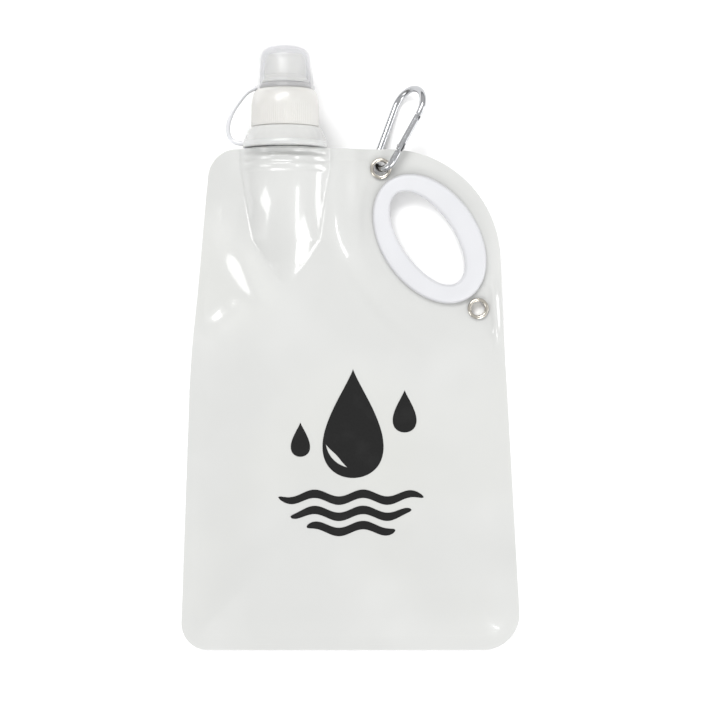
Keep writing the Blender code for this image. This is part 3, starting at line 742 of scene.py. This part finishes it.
def helix_ridge(root, crest, start, turns, bm=None, base=0.75, tip=0.4):
    """A thread's ridge, tapered to nothing at both ends."""
    steps, taper = round(turns * 72), 18
    rings = []
    for k in range(steps + 1):
        a = 2 * pi * turns * k / steps
        z = start + THREAD_PITCH * turns * k / steps
        fade = min(1.0, k / taper, (steps - k) / taper)
        top = root + (crest - root) * max(0.05, fade)
        section = ((root, z - base), (top, z - tip), (top, z + tip), (root, z + base))
        rings.append([(r * cos(a), r * sin(a), h) for r, h in section])
    return skin_rings(rings, bm=bm)


def lens_ring(half_width, half_depth, height, steps=48):
    """A pointed oval of two parabolas."""
    ring = []
    for sign in (1.0, -1.0):
        for a in evenly(0.0, pi, steps)[:-1]:
            x = sign * half_width * cos(a)
            ring.append((x, sign * half_depth * (1.0 - (x / half_width) ** 2), height))
    return ring


def build_fitment(plastic):
    """Canoe-shaped base with three ribs, flange and threaded neck."""
    half_width, half_depth, depth = 20.7, 11.3, 11.7
    between = (1.5, 0.8)
    levels = [(-depth, 1.9, 1.3), (-depth + 0.4, *between)]
    for middle in (-8.7, -4.9, -1.1):
        levels += [(middle - 0.9, *between), (middle - 0.7, 0.1, 0.1), (middle - 0.5, 0.0, 0.0)]
        levels += [(middle + 0.5, 0.0, 0.0), (middle + 0.7, 0.1, 0.1), (middle + 0.9, *between)]
    levels += [(-0.01, *between)]
    bm = skin_rings([lens_ring(half_width - narrow, half_depth - thin, z) for z, narrow, thin in levels])
    helix_ridge(root=12.5, crest=13.7, start=8.5, turns=1.75, bm=bm)
    canoe = piece_from_bmesh("weld_canoe", bm, plastic, neck_frame(), 35)
    tube = [
        (8.7, -1.0), (10.2, -1.0), (10.2, 0.3), (15.6, 0.3), (15.6, 0.9), (12.6, 0.9), (12.6, 19.6),
        (12.1, 20.1), (10.3, 20.1), (10.3, 2.6), (8.7, 2.0),
    ]
    neck = lathed("neck_tube", rounded_profile(tube), plastic, neck_frame())
    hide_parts("spout_fitment")
    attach(canoe, "pouch_upper")
    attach(neck, "pouch_upper")


def knurl(angle, radius, height):
    """Fine upright ribs round the cap's skirt."""
    ribs, depth = 96, 0.13
    if radius < 16.3 or not 10.6 < height < 20.4:
        return 0.0
    return -depth * (0.5 + 0.5 * cos(ribs * angle))


def cap_profile():
    """Up the cap's outside from its lower rim, over the shoulder and the stem, and back down its bore."""
    rim = [(14.3, 1.2), (16.0, 1.2), (16.0, 1.9), (15.4, 2.2), (15.4, 9.9), (16.1, 9.9), (16.4, 10.1)]
    skirt = [(16.5, 10.4 + 0.9 * k) for k in range(10)]
    shoulder = []
    for a in evenly(0.0, pi / 2, 14):
        shoulder.append((16.5 - 3.3 * (1 - cos(a)), 19.6 + 8.6 * sin(a)))
    seat = [(12.9, 28.3), (12.1, 28.5), (12.1, 30.5), (11.8, 30.9), (7.0, 30.9)]
    stem = [(7.0, 38.4), (6.8, 38.6), (5.6, 38.6), (5.4, 38.4), (5.4, 29.2)]
    bore = [(9.6, 29.2), (9.6, 22.4), (14.3, 22.4)]
    return rim + skirt + shoulder + seat + stem + bore


def build_cap(plastic):
    """The screw cap with its thread, and the valve's post on a bridge across its stem."""
    matrix = neck_frame()
    cap = lathed("cap_shell", cap_profile(), plastic, matrix, ripple=knurl, steps=576)
    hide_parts("screw_cap")
    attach(cap, "cap")

    bm = helix_ridge(root=14.4, crest=13.1, start=10.5, turns=1.75)
    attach(piece_from_bmesh("cap_thread", bm, plastic, matrix), "cap")

    post = [(0, 36.6), (2.1, 36.6), (2.3, 36.8), (2.3, 44.5), (2.2, 44.8), (1.9, 45.0), (0, 45.0)]
    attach(lathed("valve_post", post, plastic, matrix, steps=48), "cap")
    bm = bmesh.new()
    bmesh.ops.create_cube(bm, size=1.0)
    bmesh.ops.scale(bm, vec=(12.4, 2.6, 1.8), verts=bm.verts)
    bmesh.ops.bevel(bm, geom=bm.edges[:], offset=0.3, segments=3, affect="EDGES")
    bmesh.ops.translate(bm, vec=(0, 0, 37.5), verts=bm.verts)
    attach(piece_from_bmesh("valve_bridge", bm, plastic, matrix), "cap")


def build_liner(foam):
    """The foam washer that seals the cap on the neck."""
    liner = rounded_profile([(9.9, 20.4), (13.8, 20.4), (13.8, 22.1), (9.9, 22.1)])
    seal = lathed("seal_liner", liner, foam, neck_frame())
    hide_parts("cap_liner")
    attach(seal, "liner")


def build_nozzle(plastic):
    """The push-pull nozzle, with a finger flange, a groove above it and a hole for the valve's post."""
    flange = [(7.4, 31.2), (11.3, 31.2), (11.5, 31.4), (11.5, 32.5), (11.3, 32.8), (10.6, 33.2)]
    groove = [(10.4, 33.6), (10.3, 34.4), (10.05, 34.6), (10.05, 35.0), (10.28, 35.2)]
    side = [(10.1, 39.0), (9.9, 42.0), (9.7, 43.1), (9.3, 44.0), (8.7, 44.8), (8.1, 45.2)]
    mouth = [(3.1, 45.2), (2.7, 45.0), (2.7, 43.8), (2.9, 43.6), (7.4, 43.6)]
    profile = flange + groove + side + mouth
    nozzle = lathed("push_pull_nozzle", profile, plastic, neck_frame())
    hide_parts("nozzle")
    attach(nozzle, "nozzle")


def dome(radius, height, in_from_wall, down_from_top, steps=16):
    """A quarter of an oval, from a wall at radius to a top at height."""
    points = []
    for a in evenly(0.0, pi / 2, steps):
        inward, down = in_from_wall * (1 - cos(a)), down_from_top * (1 - sin(a))
        points.append((radius - inward, height - down))
    return points


def build_dust_cap(clear):
    """A thin clear dome with a rim."""
    top = DUST_CAP_TOP
    outside = [(12.5, 28.5), (14.2, 28.5), (14.4, 28.7), (14.4, 29.6), (14.2, 29.9), (13.8, 30.3)]
    outside += dome(12.9, top, 7.5, 6.8) + [(0, top)]
    within = [(12.5, 31.0)] + dome(12.0, top - 1.0, 6.7, 5.8) + [(0, top - 1.0)]
    cap = lathed("clear_dust_cap", outside + list(reversed(within)), clear, neck_frame())
    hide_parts("dust_cap")
    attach(cap, "dust_cap")


def build_collar(clear, milky):
    """The flared ring that carries the tether, in two halves: a clear sleeve on a milky foot."""
    sleeve = [
        (15.75, 2.52), (20.3, 2.52), (20.0, 3.3), (19.3, 5.0), (18.5, 6.7), (17.8, 8.2), (17.3, 9.2),
        (17.0, 9.6), (15.9, 9.6), (15.75, 9.4),
    ]
    foot = [
        (15.75, 2.5), (16.3, 2.2), (16.3, 0.15), (16.4, 0.05), (20.2, 0.05), (20.5, 0.3),
        (20.6, 1.0), (20.5, 1.8), (20.3, 2.5),
    ]
    collar = lathed("tether_collar", sleeve, clear, neck_frame())
    base = lathed("collar_foot", foot, milky, neck_frame())
    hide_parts("tether_ring")
    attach(collar, "tether")
    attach(base, "tether")


def squarish(number):
    """Bows a sine or a cosine out, so that a circle becomes a round-cornered section."""
    return copysign(abs(number) ** 0.7, number)


def build_strap(plastic):
    """The tether's strap, from the collar to the dust cap."""
    half_thickness, half_width, sides = 1.05, 1.55, 20
    route = [
        (20.2, 2.0), (23.9, 2.6), (26.6, 4.6), (27.8, 8.4), (27.2, 13.2), (24.9, 18.6), (21.6, 23.4),
        (18.4, 27.0), (15.6, 28.5), (13.9, 29.2),
    ]
    path = smooth_curve([Vector((-radius, 0.0, height)) for radius, height in route], 8)
    rings = []
    for point, forward in zip(path, headings(path)):
        side = Vector((forward.z, 0.0, -forward.x))
        ring = []
        for a in circle_angles(sides):
            across = squarish(cos(a)) * half_thickness
            wide = squarish(sin(a)) * half_width
            ring.append(point + side * across + Vector((0.0, wide, 0.0)))
        rings.append(ring)
    strap = piece_from_bmesh("strap_loop", skin_rings(rings), plastic, neck_frame(), 60)
    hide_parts("tether_strap")
    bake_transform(strap)


# -------- handle ring and eyelets


def handle_frame(origin):
    """Local Y runs along the handle and local Z up from its plane."""
    along = Vector((LONG_WAY.x, LONG_WAY.y, HANDLE_SLOPE)).normalized()
    return placed(CROSS_WAY, along, CROSS_WAY.cross(along), origin)


def oval_ring(name, profile, material, matrix, steps=160):
    """Sweeps (share, height) round the handle: share 0 is the inner oval and 1 the outer."""
    rings = []
    for a in circle_angles(steps):
        ring = []
        for share, height in profile:
            across = RING_INNER[0] + (RING_OUTER[0] - RING_INNER[0]) * share
            along = RING_INNER[1] + (RING_OUTER[1] - RING_INNER[1]) * share
            shift_x, shift_y = HOLE_SHIFT[0] * (1 - share), HOLE_SHIFT[1] * (1 - share)
            ring.append((across * cos(a) + shift_x, along * sin(a) + shift_y, height))
        rings.append(ring)
    bm = skin_rings(rings, True)
    return piece_from_bmesh(name, bm, material, matrix, EDGE_ANGLE)


def build_handle(plastic):
    """The ring's crowned front half with its barrel, and the flat half that clamps the films to it."""
    matrix = handle_frame((HANDLE_X, HANDLE_Y, HANDLE_Z))
    barrel, face = 0.145, CLAMP_FACE
    crown = []
    for a in evenly(0.0, pi, 12):
        crown.append((0.5 + 0.44 * cos(a), 2.75 + 0.85 * sin(a) ** 0.8))
    side = [(0.985, face), (1.0, face + 0.12), (0.995, 1.7), (0.975, 2.3)]
    front = [(0.0, -1.9), (barrel, -1.9), (barrel, face)] + side + crown + [(0.02, 2.55), (0.0, 2.2)]
    ring = oval_ring("handle_ring_top", front, plastic, matrix)
    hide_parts("handle_ring_front")
    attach(ring, "pouch_upper")
    low = -face - 1.0
    back = [(0.18, -face - 0.8), (0.21, low), (0.96, low), (1.0, -face - 0.7), (1.0, -face), (0.18, -face)]
    clamp = oval_ring("handle_ring_under", back, plastic, matrix)
    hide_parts("handle_ring_back")
    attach(clamp, "pouch_upper")


def build_eyelets(metal):
    """Two rolled eyelets, each with its washer behind the films."""
    face = CLAMP_FACE
    barrel = [(3.4, -1.7), (3.55, -1.9), (3.8, -1.9), (3.9, -1.7), (3.9, face), (5.0, face), (5.2, 1.35)]
    for a in evenly(0.0, pi, 8):
        barrel.append((4.3 + 0.85 * cos(a), 1.4 + 0.6 * sin(a)))
    barrel.append((3.4, 1.1))
    washer = rounded_profile([(4.15, -face - 0.6), (5.2, -face - 0.6), (5.2, -face), (4.15, -face)], 0.15)
    for place, centre in (("upper", UPPER_EYELET), ("lower", LOWER_EYELET)):
        matrix = handle_frame(centre)
        eyelet = lathed(f"rolled_eyelet_{place}", barrel, metal, matrix, steps=72)
        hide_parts(f"eyelet_{place}")
        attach(eyelet, "pouch_upper")
        under = lathed(f"under_washer_{place}", washer, metal, matrix, steps=72)
        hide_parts(f"eyelet_washer_{place}")
        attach(under, "pouch_upper")


# -------- carabiner


def carabiner_matrix():
    """Local X runs up the carabiner from the eyelet, and local Y towards its gate."""
    along = Vector((sin(CARABINER_HEADING), cos(CARABINER_HEADING), 0.0))
    right = Vector((cos(CARABINER_HEADING), -sin(CARABINER_HEADING), 0.0))
    gate_way = right * cos(CARABINER_TILT) + Vector((0, 0, sin(CARABINER_TILT)))
    return placed(along, gate_way, along.cross(gate_way), UPPER_EYELET)


UPPER_CENTRE = CARABINER_LENGTH - UPPER_BEND
SPLAY = asin((UPPER_BEND - LOWER_BEND) / (UPPER_CENTRE - LOWER_BEND))
LEG_START = Vector((LOWER_BEND - LOWER_BEND * sin(SPLAY), LOWER_BEND * cos(SPLAY), 0.0))
LEG_WAY = Vector((cos(SPLAY), sin(SPLAY), 0.0))
LEG_OUT = Vector((-sin(SPLAY), cos(SPLAY), 0.0))
LEG_LENGTH = (UPPER_CENTRE - LOWER_BEND) * cos(SPLAY)
HINGE_AT, GATE_FOOT, GATE_TIP, LATCH_AT = 7.2, 5.3, 24.8, 25.7


def on_leg(along, out=0.0, normal=0.0):
    """A point by its distance up the gate's leg, out of the loop and out of its plane."""
    return LEG_START + LEG_WAY * along + LEG_OUT * out + Vector((0, 0, normal))


def arc(centre, radius, start, end, steps):
    """Points of an arc round a centre on local X."""
    return [Vector((centre + radius * cos(a), radius * sin(a), 0.0)) for a in evenly(start, end, steps)]


def swept_rod(path, radius, sides=28, end_round=0.25):
    """Rings round a path in the local XY plane, with softened ends."""
    rings = []
    for point, forward in zip(path, headings(path)):
        out = Vector((-forward.y, forward.x, 0.0))
        ring = []
        for a in circle_angles(sides):
            ring.append(point + out * (radius * cos(a)) + Vector((0, 0, radius * sin(a))))
        rings.append(ring)
    for at, inward in ((0, 1), (-1, -2)):
        centre = path[at]
        step = (path[inward] - centre).normalized() * end_round
        small = [centre + (p - centre) * (1 - end_round / radius) for p in rings[at]]
        rings[at] = [p + step for p in rings[at]]
        rings.insert(0 if at == 0 else len(rings), small)
    return rings


def helper_object(name, bm, matrix):
    """An operand for a Boolean, left out of the picture."""
    obj = piece_from_bmesh(name, bm, bpy.data.materials["polished_aluminium"], matrix)
    obj.hide_render = True
    obj.display_type = "WIRE"
    return obj


def leg_block(name, low, high, half_out, half_normal, matrix):
    """A Boolean's block between two places on the gate's leg."""
    rings = []
    for along in (low, high):
        corners = ((-1, -1), (1, -1), (1, 1), (-1, 1))
        rings.append([on_leg(along, half_out * o, half_normal * n) for o, n in corners])
    return helper_object(name, skin_rings(rings), matrix)


def boolean(obj, other, operation):
    """Applies a Boolean to obj's mesh, and removes the operand."""
    modifier = obj.modifiers.new("cut", "BOOLEAN")
    modifier.operation = operation
    modifier.object = other
    bpy.context.view_layer.update()
    graph = bpy.context.evaluated_depsgraph_get()
    result = bpy.data.meshes.new_from_object(obj.evaluated_get(graph))
    obj.modifiers.clear()
    obj.data = result
    bpy.data.objects.remove(other)


def hook_frame(metal, matrix):
    """The bent rod, flattened to a tongue at the gate's hinge and at its nose."""
    quarter = pi / 2
    path = [on_leg(4.5), on_leg(3.2), on_leg(1.6)]
    path += arc(LOWER_BEND, LOWER_BEND, quarter + SPLAY, 2 * pi - quarter - SPLAY, 48)
    path += arc(UPPER_CENTRE, UPPER_BEND, -quarter - SPLAY, quarter + SPLAY, 56)
    path += [on_leg(LEG_LENGTH - 0.4)]
    bm = skin_rings(swept_rod(path, ROD))
    body = piece_from_bmesh("hook_frame", bm, metal, matrix, 35)
    boolean(body, leg_block("hinge_tongue", 3.5, 8.6, 1.0, 0.42, matrix), "UNION")
    boolean(body, leg_block("nose_tongue", 23.4, LEG_LENGTH + 0.6, 0.9, 0.42, matrix), "UNION")
    return body


def hook_gate(metal, matrix):
    """The gate, slotted for both tongues and bored for its spring."""
    bm = skin_rings(swept_rod([on_leg(GATE_FOOT), on_leg(9.0), on_leg(20.0), on_leg(GATE_TIP)], ROD))
    gate = piece_from_bmesh("hook_gate", bm, metal, matrix, 35)
    boolean(gate, leg_block("foot_slot", GATE_FOOT - 1, 9.6, 3.0, 0.66, matrix), "DIFFERENCE")
    boolean(gate, leg_block("tip_slot", 22.4, GATE_TIP + 1, 3.0, 0.66, matrix), "DIFFERENCE")
    bm = skin_rings(swept_rod([on_leg(9.0), on_leg(19.6)], 0.8, 12, 0.1))
    boolean(gate, helper_object("spring_bore", bm, matrix), "DIFFERENCE")
    return gate


def build_carabiner(metal, steel):
    """The frame, its gate, and the rivet and pin that cross them."""
    matrix = carabiner_matrix()
    body, gate = hook_frame(metal, matrix), hook_gate(metal, matrix)
    for piece, node, rider in ((body, "carabiner_frame", "carabiner"), (gate, "carabiner_gate", "gate")):
        piece.data.set_sharp_from_angle(angle=radians(35))
        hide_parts(node)
        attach(piece, rider)

    half = ROD + 0.1
    top = half + 0.3
    head = [(0.45, half), (0.8, half), (0.85, half + 0.1), (0.7, half + 0.25), (0.3, top), (0, top)]
    rivet = [(r, -z) for r, z in reversed(head)] + head
    pin = [(0, -1.3), (0.35, -1.3), (0.45, -1.2), (0.45, 1.2), (0.35, 1.3), (0, 1.3)]
    for name, node, at, profile in (
        ("hinge_rivet", "gate_rivet", HINGE_AT, rivet), ("nose_pin", "latch_pin", LATCH_AT, pin),
    ):
        across = matrix @ Matrix.Translation(on_leg(at) * MM)
        piece = lathed(name, profile, steel, across, steps=32)
        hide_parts(node)
        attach(piece, "carabiner")


# -------- the print


def drop_loop(centre, half_height, half_width, steps=120, sharpness=1.5):
    """A water drop, pointed at the top."""
    loop = []
    for t in circle_angles(steps):
        x = half_width * sin(t) * sin(t / 2) ** sharpness
        loop.append(Vector((centre[0] - x, centre[1] + half_height * cos(t))))
    return loop


def crescent_loop(centre, radius, thickness, start, end, steps=24):
    """A curved sliver between two arcs that meet at both ends."""
    outer, inner = [], []
    for t in evenly(0.0, 1.0, steps):
        a = start + (end - start) * t
        near = radius - thickness * sin(pi * t)
        outer.append(Vector((centre[0] + radius * cos(a), centre[1] + radius * sin(a))))
        inner.append(Vector((centre[0] + near * cos(a), centre[1] + near * sin(a))))
    return outer + list(reversed(inner[1:-1]))


def wave_loop(middle_y, half_length, thickness, wavelength, rise, steps=90):
    """A wavy bar with round ends."""
    top, under = [], []
    for x in evenly(-half_length, half_length, steps):
        y = middle_y + rise * sin(2 * pi * x / wavelength)
        half = thickness / 2 * sqrt(max(0.0, 1 - (x / half_length) ** 6))
        top.append(Vector((x, y + half)))
        under.append(Vector((x, y - half)))
    return under + list(reversed(top[1:-1]))


def printed(name, loop, holes, ink):
    """An ink shape that lies just above the front film and follows its surface."""
    def height(x, y):
        return front_z(x, y) + INK_LIFT

    piece = sheet_mesh(name, loop, holes, height, 2.2, ink)
    bend_over_fold(piece)


def build_print(ink):
    """Three water drops over three waves."""
    middle = (1.0, -36.0)
    shine = crescent_loop((middle[0], middle[1] - 8.5), 13.5, 2.6, radians(188), radians(258), 40)
    printed("print_drop", drop_loop(middle, 27.0, 21.5), [shine], ink)
    printed("print_droplet_left", drop_loop((-25.0, -44.0), 8.5, 6.8), [], ink)
    printed("print_droplet_right", drop_loop((26.5, -30.0), 10.5, 8.4), [], ink)
    for number, (y, half_length) in enumerate(((-72.5, 36.0), (-80.5, 30.0), (-88.0, 22.0))):
        printed(f"print_wave_{number}", wave_loop(y, half_length, 4.2, 24.0, 1.7), [], ink)


# -------- floor, light and camera


def build_floor():
    """A plain pale floor, much wider than the view."""
    bpy.ops.mesh.primitive_plane_add(size=8.0, location=(0.0, 0.0, 0.0))
    floor = bpy.context.object
    floor.name = "floor"
    floor.data.materials.append(floor_finish())


def area_light(name, place_mm, aim_mm, size_mm, watts):
    """A rectangular light, with its place, aim and size in millimetres."""
    light = bpy.data.lights.new(name, "AREA")
    light.shape = "RECTANGLE"
    light.size = size_mm[0] * MM
    light.size_y = size_mm[1] * MM
    light.energy = watts
    obj = new_object(name, light)
    obj.location = Vector(place_mm) * MM
    aim = Vector(aim_mm) - Vector(place_mm)
    obj.rotation_euler = aim.to_track_quat("-Z", "Y").to_euler()


def build_light():
    """A pale room with a dimmer skyline, a long strip light and four panels."""
    world = bpy.data.worlds.new("studio")
    bpy.context.scene.world = world
    world.use_nodes = True
    nodes, links = world.node_tree.nodes, world.node_tree.links
    background = nodes["Background"]
    background.inputs["Strength"].default_value = 0.79
    direction = nodes.new("ShaderNodeTexCoord").outputs["Generated"]
    height = nodes.new("ShaderNodeSeparateXYZ")
    fade = nodes.new("ShaderNodeMapRange")
    set_range(fade, 0.03, 0.30, 0.28, 1.0)
    links.new(direction, height.inputs["Vector"])
    links.new(height.outputs["Z"], fade.inputs["Value"])
    links.new(fade.outputs["Result"], background.inputs["Color"])
    # name, place, aim, (width, height), watts
    for light in (
        ("long_strip", (465, -1225, 900), (465, -1226, 0), (190, 1550), 7.2),
        ("low_panel", (640, -1400, 660), (-20, 50, 0), (700, 420), 5.8),
        ("right_panel", (1200, -600, 200), (0, -600, 200), (1700, 220), 7.5),
        ("left_panel", (-960, -760, 720), (0, 20, 0), (580, 460), 4.2),
        ("top_panel", (-200, 620, 900), (0, 60, 10), (800, 300), 8.6),
    ):
        area_light(*light)


def build_camera():
    """Straight above the bottle, about a metre up."""
    camera = bpy.data.cameras.new("camera")
    camera.lens = 100.0
    camera.sensor_width = 36.0
    camera.clip_start = 0.05
    camera.clip_end = 20.0
    obj = new_object("camera", camera)
    obj.location = Vector((4.45, -4.68, 993.0)) * MM
    bpy.context.scene.camera = obj
    bpy.context.scene.view_settings.view_transform = "Standard"


def dress_spring(steel):
    """The gate's spring keeps its CAD shape, in steel."""
    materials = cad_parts["gate_spring"].data.materials
    materials.clear()
    materials.append(steel)


def main():
    build_floor()
    build_light()
    build_camera()
    front_film = film_finish("front_film", 0.92)
    back_film = film_finish("back_film", 0.94)
    cap_plastic = cap_finish("cap_plastic", (0.52, 0.513, 0.494))
    nozzle_plastic = cap_finish("nozzle_plastic", (0.82, 0.815, 0.78))
    fitment_plastic = cap_finish("fitment_plastic", (0.82, 0.825, 0.82))
    foot_plastic = cap_finish("foot_plastic", (0.48, 0.484, 0.48))
    dust_cap_plastic = clear_finish("dust_cap_plastic", 0.25, (0.37, 0.374, 0.396), 0.24, 0.05)
    collar_plastic = clear_finish("collar_plastic", 0.38, (0.74, 0.744, 0.735), 0.45, 0.1)
    strap_plastic = clear_finish("strap_plastic", 0.9, (0.55, 0.555, 0.575))
    handle_plastic = handle_finish()
    nickel = metal_finish("nickel_plate", (0.54, 0.51, 0.455), 0.18, (1.0, 1.0, 3.0))
    aluminium = metal_finish("polished_aluminium", (0.45, 0.456, 0.47), 0.16, (1.0, 8.0, 1.0))
    steel = metal_finish("spring_steel", (0.5, 0.5, 0.51), 0.3, (6.0, 1.0, 1.0))
    build_films(front_film, back_film)
    build_gusset(back_film)
    build_fitment(fitment_plastic)
    build_cap(cap_plastic)
    build_liner(foam_finish())
    build_nozzle(nozzle_plastic)
    build_dust_cap(dust_cap_plastic)
    build_collar(collar_plastic, foot_plastic)
    build_strap(strap_plastic)
    build_handle(handle_plastic)
    build_eyelets(nickel)
    build_carabiner(aluminium, steel)
    build_print(ink_finish())
    dress_spring(steel)


main()
